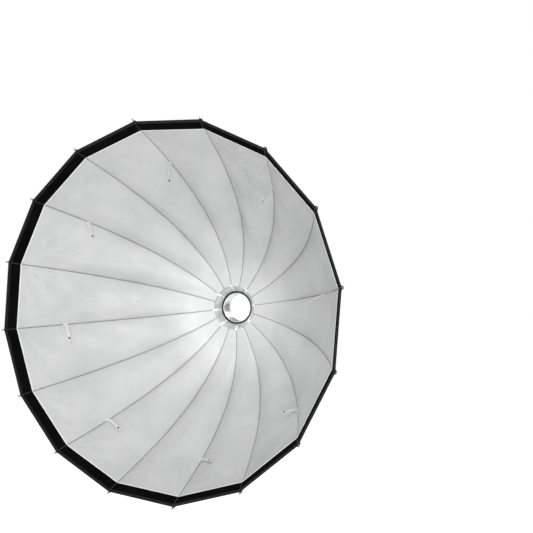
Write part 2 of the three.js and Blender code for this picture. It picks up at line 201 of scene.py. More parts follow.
def corner_creases(draw, side, across, s, fade):
    """Creases that fan out from one of the two corners at the rim; side is -1 or 1."""
    half_width = gore_width(s) / 2
    reach = np.hypot(TO_RIM - s, across - side * half_width)
    fan = np.arctan2(TO_RIM - s, side * (half_width * side - across) + 1e-9)
    grows = 1 - np.exp(-reach / 0.015)
    fades = np.exp(-reach / CREASE_REACH) * np.clip(fade * 3, 0, 1)
    return CREASE_HEIGHT * fades * grows * np.sin(13 * fan + draw.uniform(0, 7))


def one_shape(*values):
    return np.broadcast_arrays(*(np.asarray(value, float) for value in values))


def gore_points(index, s, u, back):
    """Points on gore index at arc length s, share u of the way to the next rib and back behind its face."""
    s, u, back = one_shape(s, u, back)
    radius, depth, out, forward = wall_at(s)
    lift = gore_relief(index, s, u) * (s < TO_RIM) - back
    radial = radius * math.cos(HALF) - forward * lift
    hoop = (1 - 2 * u) * radius * math.sin(HALF)
    return turned(np.stack([radial, hoop, depth + out * lift], axis=-1), rib_angle(index) - HALF)


def rib_points(index, s, hoop, back):
    """Points near rib index: hoop to its anticlockwise side and back behind the lining, in metres."""
    s, hoop, back = one_shape(s, hoop, back)
    radius, depth, out, forward = wall_at(s)
    return turned(np.stack([radius + forward * back, hoop, depth - out * back], axis=-1), rib_angle(index))


def unit(vectors):
    return vectors / np.linalg.norm(vectors, axis=-1, keepdims=True)


def run_along(points):
    """Distance from the first point to each point of a path."""
    return np.concatenate([[0], np.cumsum(np.linalg.norm(np.diff(points, axis=0), axis=-1))])


# Mesh makers.
def new_piece(name, points, faces, material, uvs=None):
    """A smooth mesh object with its material."""
    mesh = bpy.data.meshes.new(name)
    mesh.from_pydata([tuple(p) for p in np.asarray(points, float).reshape(-1, 3)], [], faces)
    mesh.update()
    if uvs is not None:
        layer = mesh.uv_layers.new(name="cloth")
        flat = np.asarray(uvs, float).reshape(-1, 2)
        corners = np.empty(len(mesh.loops), np.int32)
        mesh.loops.foreach_get("vertex_index", corners)
        layer.data.foreach_set("uv", flat[corners].astype(np.float32).ravel())
    mesh.polygons.foreach_set("use_smooth", [True] * len(mesh.polygons))
    mesh.materials.append(material)
    piece = bpy.data.objects.new(name, mesh)
    bpy.context.scene.collection.objects.link(piece)
    return piece


def grid_faces(rows, columns, flip=False, around=False):
    """Quads of a grid of points; around closes each row on itself."""
    faces = []
    last = columns if around else columns - 1
    for row in range(rows - 1):
        for column in range(last):
            a, b = row * columns + column, row * columns + (column + 1) % columns
            quad = (a, b, b + columns, a + columns)
            faces.append(quad[::-1] if flip else quad)
    return faces


def uv_grid(across, along):
    return np.stack(np.broadcast_arrays(across, along), axis=-1)


def sheet_piece(name, points, uvs, material, thickness, flip=False):
    """A sheet of cloth with a real thickness, behind the face that its points make."""
    rows, columns = points.shape[:2]
    piece = new_piece(name, points, grid_faces(rows, columns, flip), material, uvs)
    solid = piece.modifiers.new("thickness", "SOLIDIFY")
    solid.thickness = thickness
    solid.offset = -1
    return piece


def bar_piece(name, sections, material, flip=False, uvs=None):
    """A closed bar through sections, each a ring of points, with capped ends."""
    rows, columns = sections.shape[:2]
    faces = grid_faces(rows, columns, flip, around=True)
    first, last = tuple(range(columns)), tuple(range((rows - 1) * columns, rows * columns))
    faces += [first if flip else first[::-1], last[::-1] if flip else last]
    return new_piece(name, sections, faces, material, uvs)


def turns_of(count):
    """That many angles, evenly spaced once round."""
    return np.arange(count) * 2 * math.pi / count


def ring_faces(segments, count, flip=False):
    """Quads of a closed outline of count points, turned once round in segments steps."""
    faces = []
    for step in range(segments):
        after = (step + 1) % segments
        for edge in range(count):
            beside = (edge + 1) % count
            a, b = step * count + edge, step * count + beside
            c, d = after * count + beside, after * count + edge
            faces.append((a, d, c, b) if flip else (a, b, c, d))
    return faces


def lathe_piece(name, outline, material, segments=144):
    """A ring round the bowl's axis from a closed [radius, depth] outline that runs anticlockwise."""
    angles = turns_of(segments)
    radius, depth = outline[:, 0], outline[:, 1]
    x = np.cos(angles)[:, None] * radius
    z = np.sin(angles)[:, None] * radius
    points = np.stack([x, np.broadcast_to(-depth, x.shape), z], axis=-1)
    return new_piece(name, points, ring_faces(segments, len(outline)), material)


def apply_modifiers(piece):
    graph = bpy.context.evaluated_depsgraph_get()
    mesh = bpy.data.meshes.new_from_object(piece.evaluated_get(graph))
    piece.modifiers.clear()
    piece.data = mesh


def sharp_edges(piece, angle):
    piece.data.set_sharp_from_angle(angle=math.radians(angle))


# Materials.
NOISE = "ShaderNodeTexNoise"
CELLS = "ShaderNodeTexVoronoi"


def set_sockets(node, sockets):
    for name, value in sockets.items():
        node.inputs[name.replace("_", " ")].default_value = value


def start_material(name, **sockets):
    """A new material with its nodes, links and shader; the values given are set on the shader."""
    material = bpy.data.materials.new(name)
    material.use_nodes = True
    nodes = material.node_tree.nodes
    shader = nodes["Principled BSDF"]
    set_sockets(shader, sockets)
    return material, nodes, material.node_tree.links, shader


def add_node(nodes, kind, **sockets):
    node = nodes.new(kind)
    set_sockets(node, sockets)
    return node


def mapped(nodes, links, output, scale, turn):
    coordinates = nodes.new("ShaderNodeTexCoord")
    mapping = add_node(nodes, "ShaderNodeMapping", Scale=scale, Rotation=(0, 0, turn))
    links.new(coordinates.outputs[output], mapping.inputs["Vector"])
    return mapping.outputs["Vector"]


def texture(nodes, links, kind, output, scale=(1, 1, 1), turn=0.0, **sockets):
    """A texture node on scaled and turned coordinates."""
    node = add_node(nodes, kind, **sockets)
    links.new(mapped(nodes, links, output, scale, turn), node.inputs["Vector"])
    return node


def coloured(nodes, links, shader, factor, dark, light):
    """Base colour between two shades, most of the change in the factor's middle."""
    ramp = nodes.new("ShaderNodeValToRGB")
    for element, position, shade in zip(ramp.color_ramp.elements, (0.3, 0.7), (dark, light)):
        element.position = position
        element.color = (*shade, 1)
    links.new(factor, ramp.inputs["Fac"])
    links.new(ramp.outputs["Color"], shader.inputs["Base Color"])


def ranged(nodes, links, factor, low, high):
    spread = add_node(nodes, "ShaderNodeMapRange", To_Min=low, To_Max=high)
    links.new(factor, spread.inputs["Value"])
    return spread.outputs["Result"]


def roughened(nodes, links, shader, factor, low, high):
    links.new(ranged(nodes, links, factor, low, high), shader.inputs["Roughness"])


def bumped(nodes, links, shader, height, distance, strength, before=None):
    """Bump from a height, laid over an earlier bump if there is one."""
    bump = add_node(nodes, "ShaderNodeBump", Strength=strength, Distance=distance)
    links.new(height, bump.inputs["Height"])
    if before is not None:
        links.new(before, bump.inputs["Normal"])
    links.new(bump.outputs["Normal"], shader.inputs["Normal"])
    return bump.outputs["Normal"]


def silver_cloth():
    """Reflective silver-grey lining: satin, with fine diagonal streaks and a small weave."""
    material, nodes, links, shader = start_material("silver_cloth", Metallic=0.3)
    streaks = texture(
        nodes, links, NOISE, "UV", (420, 26, 1), 0.45, Scale=1.0, Detail=5.0, Roughness=0.6
    )
    clouds = texture(nodes, links, NOISE, "Object", Scale=7.0, Detail=3.0, Roughness=0.5)
    mixed = nodes.new("ShaderNodeMath")
    mixed.operation = "ADD"
    links.new(ranged(nodes, links, streaks.outputs["Fac"], 0.0, 0.45), mixed.inputs[0])
    links.new(ranged(nodes, links, clouds.outputs["Fac"], 0.0, 0.55), mixed.inputs[1])
    coloured(nodes, links, shader, mixed.outputs[0], (0.44, 0.443, 0.445), (0.55, 0.552, 0.55))
    roughened(nodes, links, shader, streaks.outputs["Fac"], 0.54, 0.68)
    weave = texture(nodes, links, CELLS, "UV", (1, 1, 1), 0.6, Scale=900.0)
    peel = texture(
        nodes, links, NOISE, "UV", (1, 0.6, 1), 0.5, Scale=70.0, Detail=3.0, Roughness=0.55
    )
    first = bumped(nodes, links, shader, streaks.outputs["Fac"], 0.0007, 0.55)
    second = bumped(nodes, links, shader, peel.outputs["Fac"], 0.0030, 0.5, first)
    bumped(nodes, links, shader, weave.outputs["Distance"], 0.00012, 0.5, second)
    return material


def black_cloth(name, shade, rough, sheen, gloss):
    """Coated black nylon: a small ripstop grid, slight mottling and a soft sheen."""
    material, nodes, links, shader = start_material(
        name, Sheen_Weight=sheen, Sheen_Roughness=0.4, Specular_IOR_Level=gloss
    )
    clouds = texture(nodes, links, NOISE, "Object", Scale=18.0, Detail=4.0, Roughness=0.55)
    coloured(nodes, links, shader, clouds.outputs["Fac"], (shade * 0.75,) * 3, (shade * 1.5,) * 3)
    roughened(nodes, links, shader, clouds.outputs["Fac"], rough - 0.08, rough + 0.1)
    grid = texture(
        nodes, links, "ShaderNodeTexBrick", "UV", (200, 200, 1),
        Scale=1.0, Mortar_Size=0.05, Brick_Width=1.0, Row_Height=1.0,
    )
    grid.offset = 0.0
    threads = texture(nodes, links, CELLS, "UV", Scale=1400.0)
    first = bumped(nodes, links, shader, grid.outputs["Fac"], 0.00012, 0.6)
    bumped(nodes, links, shader, threads.outputs["Distance"], 0.0001, 0.5, first)
    return material


def webbing(name, light, dark, ribs_per_metre=420, sheen=0.1, gloss=0.4):
    """Woven tape: cross ribs and thread noise."""
    material, nodes, links, shader = start_material(
        name, Sheen_Weight=sheen, Specular_IOR_Level=gloss
    )
    ribs = texture(
        nodes, links, "ShaderNodeTexWave", "UV", (ribs_per_metre, ribs_per_metre, 1),
        Scale=1.0, Distortion=0.6, Detail=2.0,
    )
    ribs.bands_direction = "Y"
    fuzz = texture(nodes, links, NOISE, "Object", Scale=260.0, Detail=4.0)
    coloured(nodes, links, shader, fuzz.outputs["Fac"], dark, light)
    roughened(nodes, links, shader, fuzz.outputs["Fac"], 0.7, 0.9)
    bumped(nodes, links, shader, ribs.outputs["Fac"], 0.0003, 0.6)
    return material


def metal(name, light, dark, rough, metallic=1.0, brushed=(300, 6, 300)):
    """Machined metal: brushing round the axis, light wear and small roughness changes."""
    material, nodes, links, shader = start_material(name, Metallic=metallic)
    brush = texture(nodes, links, NOISE, "Object", brushed, Scale=1.0, Detail=5.0, Roughness=0.65)
    wear = texture(nodes, links, NOISE, "Object", Scale=45.0, Detail=6.0, Roughness=0.6)
    coloured(nodes, links, shader, wear.outputs["Fac"], dark, light)
    roughened(nodes, links, shader, brush.outputs["Fac"], rough - 0.1, rough + 0.12)
    bumped(nodes, links, shader, brush.outputs["Fac"], 0.0002, 0.25)
    return material


def moulded(name, light, dark, rough):
    """Moulded plastic with a fine spark-eroded grain."""
    material, nodes, links, shader = start_material(name)
    grain = texture(nodes, links, NOISE, "Object", Scale=900.0, Detail=3.0)
    marks = texture(nodes, links, NOISE, "Object", Scale=60.0, Detail=5.0)
    coloured(nodes, links, shader, marks.outputs["Fac"], dark, light)
    roughened(nodes, links, shader, marks.outputs["Fac"], rough - 0.08, rough + 0.1)
    bumped(nodes, links, shader, grain.outputs["Fac"], 0.0002, 0.35)
    return material


SILVER = silver_cloth()
BLACK = black_cloth("black_cloth", 0.010, 0.6, 0.07, 0.35)
LIP_BLACK = black_cloth("lip_cloth", 0.0025, 0.85, 0.0, 0.01)
POCKET_BLACK = webbing(
    "pocket_tape", (0.022, 0.022, 0.023), (0.012, 0.012, 0.0125), sheen=0.08, gloss=0.3
)
BINDING_BLACK = webbing(
    "binding_tape", (0.012, 0.012, 0.0125), (0.006, 0.006, 0.0062), sheen=0.02, gloss=0.12
)
WHITE_TAPE = webbing("white_tape", (0.84, 0.84, 0.835), (0.74, 0.74, 0.735))
STRAP_TAPE = webbing("strap_tape", (0.60, 0.60, 0.595), (0.50, 0.50, 0.495))
HEM_TAPE = webbing("hem_tape", (0.72, 0.72, 0.715), (0.62, 0.62, 0.615))
LIP_SEAM = webbing("lip_seam", (0.035, 0.035, 0.036), (0.022, 0.022, 0.023), sheen=0.02, gloss=0.2)
# Grey of the seam thread, partly painted shade: darkened further to stand for the valley's shadow.
SEAM_GREY_AND_SHADE = webbing("seam_thread_and_shade", (0.25, 0.25, 0.245), (0.17, 0.17, 0.165), ribs_per_metre=600)
BRIGHT_METAL = metal("bright_insert", (0.86, 0.865, 0.87), (0.74, 0.745, 0.75), 0.28)
COLLAR_METAL = metal("collar_grey", (0.62, 0.625, 0.63), (0.42, 0.425, 0.43), 0.45, 0.7)
BLACK_METAL = metal("black_anodised", (0.028, 0.028, 0.03), (0.012, 0.012, 0.013), 0.42, 0.8)
STEEL = metal("spring_steel", (0.5, 0.51, 0.52), (0.36, 0.37, 0.38), 0.3)
ROD_METAL = metal("rod_grey", (0.36, 0.365, 0.37), (0.24, 0.245, 0.25), 0.36, 0.85, (40, 40, 40))
KNOB_PLASTIC = moulded("knob_black", (0.022, 0.022, 0.023), (0.012, 0.012, 0.012), 0.55)


def across_shares(count):
    """Shares across a gore, closer together near its ribs."""
    even = np.linspace(0, 1, count)
    return 0.5 - 0.5 * np.cos(math.pi * even)


def follow_both_ribs(piece):
    """Bakes the piece's placement into its mesh; nothing ties the cloth to a rib.
    """
    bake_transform(piece)


def make_lining(index):
    """The silver gore: rolled inner edge, stretched bowl, and a seam allowance that dips at each rib."""
    rows, columns = 150, 27
    u = across_shares(columns)[None, :]
    roll = np.array([0.0035, 0.0025, 0.001])
    s = np.concatenate([np.zeros(len(roll)), np.linspace(0, TO_RIM - 0.001, rows)])[:, None]
    back = np.concatenate([roll, np.zeros(rows)])[:, None]
    width = gore_width(s)
    from_seam = np.minimum(u, 1 - u) * width
    phase = np.random.default_rng(300 + index).uniform(0, 7, 2)
    pucker = np.where(u < 0.5, np.sin(s * 240 + phase[0]), np.sin(s * 225 + phase[1]))
    dip = 0.0014 * np.exp(-from_seam / 0.0020) - 0.0004 * pucker * np.exp(-from_seam / 0.010)
    inset = 0.0009 / width
    points = gore_points(index, s, inset + u * (1 - 2 * inset), back + dip)
    uvs = uv_grid((u - 0.5) * width, s)
    name = numbered("lining", index)
    piece = sheet_piece(name, points, uvs, SILVER, LINING_THICKNESS)
    follow_both_ribs(piece)
    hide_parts(numbered("gore", index))


def make_shell(index):
    """The black gore: up the outside of the bowl and folded over the lip's edge."""
    u = across_shares(19)[None, :]
    out_rows = np.concatenate([np.linspace(0.022, TO_RIM, 70), np.linspace(TO_RIM, TO_LIP, 7)[1:]])
    turn = np.linspace(0, math.pi, 7)
    edge_s = TO_LIP + 0.0013 * np.sin(turn)
    edge_back = 0.0016 + 0.0013 * np.cos(turn)
    s = np.concatenate([out_rows, edge_s, [TO_LIP - 0.003]])[:, None]
    back = np.concatenate([np.full(len(out_rows), SHELL_BACK), edge_back, [0.0004]])[:, None]
    points = gore_points(index, s, u, back)
    run = np.concatenate([[0], np.cumsum(np.abs(np.diff(s[:, 0])) + 0.0003)])[:, None]
    uvs = uv_grid((u - 0.5) * gore_width(s), run)
    name = numbered("outer_cloth", index)
    piece = sheet_piece(name, points, uvs, BLACK, SHELL_THICKNESS, flip=True)
    follow_both_ribs(piece)


def make_lip_facing(index):
    """The lip's inner face: matt black cloth from the lip's edge down to behind the lining's hem."""
    u = across_shares(19)[None, :]
    s = np.linspace(TO_LIP - 0.0006, TO_RIM - 0.006, 14)[:, None]
    back = np.where(s < TO_RIM, 0.0012, 0.0003)
    points = gore_points(index, s, u, back)
    uvs = uv_grid((u - 0.5) * gore_width(s), s)
    name = numbered("lip_facing", index)
    piece = sheet_piece(name, points, uvs, LIP_BLACK, FACING_THICKNESS, flip=True)
    follow_both_ribs(piece)


def strip_sections(path, side, normal, half_width, half_height, rounding=4):
    """Rounded flat sections along a path, from each point's side and normal directions."""
    angles = turns_of(4 * rounding)
    flat = np.sign(np.cos(angles)) * np.abs(np.cos(angles)) ** 0.45 * half_width
    high = np.sign(np.sin(angles)) * np.abs(np.sin(angles)) ** 0.45 * half_height
    return path[:, None] + side[:, None] * flat[None, :, None] + normal[:, None] * high[None, :, None]


def length_uvs(sections, run):
    """Coordinates that run along a bar, so that a tape's weave crosses it."""
    around = np.linspace(0, 0.01, sections.shape[1])[None, :]
    return uv_grid(around, np.asarray(run)[:, None])


def gore_strip(index, s, u, back, aside, half_width, half_height):
    """Rounded sections of a tape across gore index at arc length s; aside is a step along the wall."""
    path = gore_points(index, s, u, back)
    side = unit((gore_points(index, s + aside, u, back) - path) * math.copysign(1, aside))
    normal = unit(gore_points(index, s, u, back - 0.001) - path)
    return strip_sections(path, side, normal, half_width, half_height)


def make_hem(index):
    """The narrow white binding where the lining meets the black lip."""
    u = np.linspace(0, 1, 33)
    sections = gore_strip(index, TO_RIM - 0.0012, u, -0.0004, -0.004, 0.0017, 0.0007)
    uvs = length_uvs(sections, u * RIM_CHORD)
    piece = bar_piece(numbered("hem", index), sections, HEM_TAPE, True, uvs)
    follow_both_ribs(piece)


def make_binding(index):
    """Black tape folded over the lip's outer edge."""
    u = np.linspace(0, 1, 17)[None, :]
    turn = np.linspace(0, math.pi, 9)
    reach = 0.009
    s = np.concatenate([[TO_LIP - reach], TO_LIP + 0.0018 * np.sin(turn), [TO_LIP - reach]])[:, None]
    back = np.concatenate([[0.0036], 0.00155 + 0.0021 * np.cos(turn), [-0.00055]])[:, None]
    points = gore_points(index, s, u, back)
    name = numbered("binding", index)
    uvs = uv_grid(u * RIM_CHORD, s)
    piece = sheet_piece(name, points, uvs, BINDING_BLACK, TAPE_THICKNESS, flip=True)
    follow_both_ribs(piece)


def make_cross_seam(index):
    """The low welt where the gore joins the bowl's inner disc."""
    u = np.linspace(0.012, 0.988, 33)
    s = arc_of(CROSS_SEAM_RADIUS)
    sections = gore_strip(index, s, u, -0.0001, 0.002, 0.0011, 0.0005)
    uvs = length_uvs(sections, u * gore_width(s))
    piece = bar_piece(numbered("cross_seam", index), sections, SILVER, True, uvs)
    follow_both_ribs(piece)


def rib_strip(name, index, s, back, half_width, half_height, material):
    """A low sewn strip along rib index."""
    path = rib_points(index, s, 0, back)
    side = np.broadcast_to(turned([0, 1, 0], rib_angle(index)), path.shape)
    normal = unit(np.cross(np.gradient(path, axis=0), side))
    sections = strip_sections(path, side, normal, half_width, half_height, rounding=2)
    piece = bar_piece(name, sections, material, uvs=length_uvs(sections, s))
    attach(piece, numbered("rib_arm", index))


def make_seam(index):
    """The sewn seam at the foot of the valley between two gores, on the rib; its grey is thread colour,
    partly painted shade.
    """
    s = np.linspace(0.002, TO_RIM - 0.003, 150)
    rib_strip(numbered("seam", index), index, s, 0.0012, 0.0010, 0.0005, SEAM_GREY_AND_SHADE)


def make_lip_seam(index):
    """The raised seam across the lip's inner face, where two gores' lips meet."""
    s = np.linspace(TO_RIM + 0.003, TO_LIP - 0.0005, 12)
    rib_strip(numbered("lip_seam", index), index, s, -0.0003, 0.0011, 0.0006, LIP_SEAM)


def make_pocket(index):
    """The rib's black pocket on the outside: two stitched flanges and an arch over the rod."""
    s = np.linspace(0.036, TO_LIP - 0.0015, 90)
    width = gore_width(s)
    reaches = [0.012, 0.0115, 0.0065]
    rise = [(0.0052, 0.0052), (0.0046, 0.0076), (0.0026, 0.0092), (0.0, 0.0097)]
    arch = rise + [(-hoop, back) for hoop, back in rise[-2::-1]]
    left = [gore_points(index - 1, s, 1 - reach / width, POCKET_BACK) for reach in reaches]
    middle = [rib_points(index, s, hoop, back) for hoop, back in arch]
    right = [gore_points(index, s, reach / width, POCKET_BACK) for reach in reversed(reaches)]
    points = np.stack([*left, *middle, *right], axis=1)
    across = [-reach for reach in reaches] + [-hoop for hoop, _ in arch] + reaches[::-1]
    uvs = uv_grid(np.array(across)[None, :], s[:, None])
    name = numbered("rib_pocket", index)
    piece = sheet_piece(name, points, uvs, POCKET_BLACK, POCKET_THICKNESS, flip=True)
    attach(piece, numbered("rib_arm", index))


def make_rod(index):
    """The rib's round rod behind the lining, with a turned end cap and a point."""
    start = arc_of(PIVOT_RADIUS + 0.018)
    s = np.linspace(start, TO_LIP, 100)
    centre = rib_points(index, s, 0, ROD_BACK)
    ahead = unit(np.gradient(centre, axis=0))
    shoe_end = turned(
        [[PIVOT_RADIUS + 0.010, 0, 0.0834], [PIVOT_RADIUS + 0.014, 0, 0.0852]], rib_angle(index)
    )
    point = centre[-1] + ahead[-1] * np.array([[0.003], [0.006], [0.0105], [0.0117], [0.012]])
    collar = centre[-1] + ahead[-1] * np.array([[-0.0038], [-0.0036], [-0.0012], [-0.001], [0.0004]])
    spine = np.concatenate([shoe_end, centre[:-2], collar, point])
    cap = [ROD_RADIUS, 0.0036, 0.0036, 0.0031, 0.0034, 0.0029, 0.0021, 0.0013, 0.0009, 0.0003]
    radii = np.concatenate([np.full(len(spine) - len(cap), ROD_RADIUS), cap])
    side = np.broadcast_to(turned([0, 1, 0], rib_angle(index)), spine.shape)
    along = unit(np.gradient(spine, axis=0))
    normal = unit(np.cross(along, side))
    angles = turns_of(14)[None, :, None]
    spokes = side[:, None] * np.cos(angles) + normal[:, None] * np.sin(angles)
    sections = spine[:, None] + radii[:, None, None] * spokes
    rod = bar_piece(numbered("rib_rod", index), sections, ROD_METAL)
    sharp_edges(rod, 40)
    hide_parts(numbered("rib", index))
    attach(rod, numbered("rib_arm", index))


def make_shoe(index):
    """The rib's hinge shoe: a flat bar that ends in a round eye on the hinge wire."""
    eye_radius = 0.0042
    turn = np.linspace(math.pi / 2, 3 * math.pi / 2, 13)
    eye = [(PIVOT_RADIUS + eye_radius * math.cos(a), PIVOT_DEPTH + eye_radius * math.sin(a)) for a in turn]
    bar = [(PIVOT_RADIUS + out, depth) for out, depth in SHOE_BAR]
    outline = eye + bar
    layers = [(-0.0035, 0.9), (-0.003, 1.0), (0.003, 1.0), (0.0035, 0.9)]
    middle = np.mean(outline, axis=0)
    rings = []
    for hoop, grow in layers:
        flat = middle + (np.array(outline) - middle) * grow
        rings.append(np.stack([flat[:, 0], np.full(len(flat), hoop), flat[:, 1]], axis=-1))
    sections = turned(np.array(rings), rib_angle(index))
    shoe = bar_piece(numbered("rib_shoe", index), sections, ROD_METAL)
    sharp_edges(shoe, 30)
    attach(shoe, numbered("rib_arm", index))


def around_rib(index, s, share, back):
    """Points over the two half gores beside a rib: share runs from -1 (anticlockwise middle) to 1."""
    before = gore_points(index - 1, s, 1 + np.minimum(share, 0) / 2, back)
    after = gore_points(index, s, np.maximum(share, 0) / 2, back)
    return np.where((share < 0)[..., None], before, after)


def make_neck(index):
    """One sector of the black sleeve that closes the bowl round the housing, gathered by an elastic hem."""
    columns = 25
    share = np.linspace(-1, 1, columns)[None, :]
    path = np.array([
        (0.0800, 0.0452), (0.0812, 0.0446), (0.0822, 0.0462), (0.0824, 0.050), (0.0812, 0.0525),
        (0.0816, 0.0550), (FLANGE_RADIUS - 0.0085, 0.0580), (FLANGE_RADIUS - 0.002, 0.0618),
        (FLANGE_RADIUS + 0.0035, 0.0655), (FLANGE_RADIUS + 0.0065, 0.0710),
        (FLANGE_RADIUS + 0.0085, 0.0750), (FLANGE_RADIUS + 0.014, 0.0780), (FLANGE_RADIUS + 0.019, 0.0802),
    ])
    rows = len(path)
    radius = path[:, 0][:, None]
    depth = path[:, 1][:, None]
    gather = np.interp(np.arange(rows), [0, 3, 5, 9, rows - 1], [0.0004, 0.0004, 0.0011, 0.0006, 0.0])
    angle = share * HALF
    radius = radius + gather[:, None] * np.cos(7 * math.pi * share)
    sleeve = np.stack(
        np.broadcast_arrays(radius * np.cos(angle), -radius * np.sin(angle), depth), axis=-1
    )
    sleeve = turned(sleeve, rib_angle(index))
    over_rib = np.exp(-((share * 0.023) / 0.0065) ** 2)
    edge_s = np.array([arc_of(FLANGE_RADIUS + reach) for reach in (0.024, 0.029, 0.034)])[:, None]
    edge = around_rib(index, edge_s, share + 0 * edge_s, 0.0040 + 0.0066 * over_rib + 0 * edge_s)
    points = np.concatenate([sleeve, edge])
    run = run_along(points[:, columns // 2])
    uvs = uv_grid(share * 0.022, run[:, None])
    piece = sheet_piece(numbered("neck", index), points, uvs, BLACK, TAPE_THICKNESS)
    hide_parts("rear_sleeve")
    apply_modifiers(piece)
    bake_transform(piece)


def strap_frame(index):
    """The foot of strap index on its rib's seam, with the directions along the wall and into the bowl."""
    s = arc_of(STRAP_RADIUS)
    _, _, out, forward = wall_at(s)
    angle = rib_angle(2 * index)
    root = rib_points(2 * index, s, 0, 0)
    return s, angle, root, turned([out, 0, forward], angle), turned([-forward, 0, out], angle)


def bezier(start, leave, arrive, end, count):
    """That many points along a cubic curve."""
    t = np.linspace(0, 1, count)[:, None]
    from_start = (1 - t) ** 3 * start + 3 * (1 - t) ** 2 * t * leave
    return from_start + 3 * (1 - t) * t ** 2 * arrive + t ** 3 * end


def rounded_end(distance, reach, least):
    """Share of the full half width at a distance from a tape's round end."""
    return np.sqrt(np.clip(1 - np.clip(1 - distance / reach, 0, 1) ** 2, least, 1))


def make_strap(index):
    """A hanging strap of the inner diffuser: limp webbing with a rounded end, an eyelet and a sewn foot."""
    radial, hoop, forward, length = STRAP_LIES[index]
    s, angle, root, along, inward = strap_frame(index)
    lie = unit(turned([radial, hoop, forward], angle))
    start = root + inward * 0.0025
    bend = start + inward * 0.006 + lie * 0.005
    end = bend + lie * (length - 0.010)
    path = bezier(start, bend + inward * 0.004, bend + lie * length * 0.3, end, 25)
    curl = np.sin(np.linspace(0, 1, len(path))[:, None] * math.pi * 1.6) * 0.0012
    heading = unit(np.gradient(path, axis=0))
    width = unit(along - heading * (heading @ along)[:, None])
    facing = np.cross(heading, width)
    path = path + facing * curl
    run = run_along(path)
    half = STRAP_HALF_WIDTH * rounded_end(run[-1] - run, STRAP_HALF_WIDTH, 0.02)
    across = np.array([-1, -0.7, 0, 0.7, 1])[None, :, None]
    reach = width[:, None] * half[:, None, None]
    lift = facing[:, None] * 0.0006
    sections = path[:, None] + np.concatenate([reach * across + lift, reach * -across - lift], axis=1)
    uvs = length_uvs(sections, run)
    strap = bar_piece(numbered("strap", index), sections, STRAP_TAPE, True, uvs)
    sharp_edges(strap, 60)
    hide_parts(numbered("diffuser_strap", index))
    arm = numbered("rib_arm", 2 * index)
    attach(strap, arm)
    seat = len(path) - 4
    make_eyelet(index, (path[seat], heading[seat], width[seat], facing[seat]), arm)
    foot = patch_points(2 * index, s, 0.010, 0.0065)
    name = numbered("strap_foot", index)
    foot_piece = sheet_piece(name, foot, patch_uvs(foot), STRAP_TAPE, 0.0008)
    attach(foot_piece, arm)


def make_eyelet(index, seat, arm):
    """A black eyelet near the strap's end; a black disc fills its opening, painted shade."""
    rim = [
        (0.0018, -0.0011), (0.0035, -0.0011), (0.0039, -0.0008),
        (0.0039, 0.0008), (0.0035, 0.0011), (0.0018, 0.0011),
    ]
    # A solid black disc in the eyelet's opening: painted shade where there is only an opening.
    shade_disc = [(CENTRE_BORE, -0.0009), (0.0019, -0.0009), (0.0019, 0.0009), (CENTRE_BORE, 0.0009)]
    for word, outline in (("eyelet", rim), ("eyelet_shade_disc", shade_disc)):
        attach(ring_piece(numbered(word, index), seat, outline, BLACK_METAL), arm)


def ring_piece(name, frame_at, outline, material, segments=28):
    """A small turned piece about frame_at's facing direction, from a closed [radius, height] outline."""
    centre, ahead, side, facing = frame_at
    angles = turns_of(segments)
    outline = np.asarray(outline, float)
    spokes = np.cos(angles)[:, None] * ahead + np.sin(angles)[:, None] * side
    points = centre + spokes[:, None] * outline[None, :, :1] + facing * outline[None, :, 1:]
    piece = new_piece(name, points, ring_faces(segments, len(outline), flip=True), material)
    sharp_edges(piece, 40)
    return piece


def patch_points(index, s, half_length, half_width):
    """A small patch of tape laid over the seam of rib index."""
    along = np.linspace(-half_length, half_length, 9)
    across = np.linspace(-half_width, half_width, 9)
    rows = []
    middle = len(across) // 2
    lifted = -0.0011
    for shift in along:
        width = gore_width(s + shift)
        row = [
            gore_points(index - 1, s + shift, 1 + hoop / width, lifted) if hoop < 0
            else gore_points(index, s + shift, hoop / width, lifted)
            for hoop in across
        ]
        row[middle] = (row[middle - 1] + row[middle + 1]) / 2
        rows.append(row)
    return np.array(rows)


def patch_uvs(points):
    rows, columns = points.shape[:2]
    return np.stack(np.meshgrid(np.linspace(0, 0.014, columns), np.linspace(0, 0.02, rows)), axis=-1)


def make_tie(index):
    """A white tab that holds the lining's edge down over the collar, riveted at its inner end."""
    angle = rib_angle(2 * index)
    path = np.array([
        (0.0672, 0.0638), (0.0700, 0.0672), (0.0738, 0.0722), (0.0776, 0.0777), (0.0812, 0.0828),
        (0.0832, 0.0859), (0.0846, 0.0887), (0.0875, 0.0904), (0.0908, 0.0912),
    ])
    t = np.linspace(0, 1, len(path))
    middle = np.stack([path[:, 0], 0 * t, path[:, 1]], axis=-1)
    heading = unit(np.gradient(middle, axis=0))
    facing = np.cross(heading, [0, 1, 0])
    half = 0.0042 * rounded_end(t, 0.16, 0.15)
    across = np.array([-1, -0.6, 0, 0.6, 1, 1, 0.6, 0, -0.6, -1])
    lift = np.array([0.0006] * 5 + [-0.0002] * 5)
    sections = middle[:, None] + np.array([0, 1, 0]) * (half[:, None] * across)[..., None]
    sections = sections + facing[:, None] * -lift[None, :, None]
    uvs = length_uvs(sections, run_along(middle))
    tab = bar_piece(numbered("tie", index), turned(sections, angle), WHITE_TAPE, uvs=uvs)
    sharp_edges(tab, 50)
    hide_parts(numbered("lining_tie", index))
    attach(tab, "hub")
    seat = (
        turned(middle[1] - facing[1] * 0.0006, angle), turned(heading[1], angle),
        turned([0, 1, 0], angle), turned(-facing[1], angle),
    )
    rivet = ring_piece(numbered("tie_rivet", index), seat, [
        (CENTRE_BORE, -0.0006), (0.0018, -0.0006), (0.0021, 0.0),
        (0.0018, 0.0007), (0.0010, 0.0011), (CENTRE_BORE, 0.0012),
    ], BLACK_METAL)
    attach(rivet, "hub")


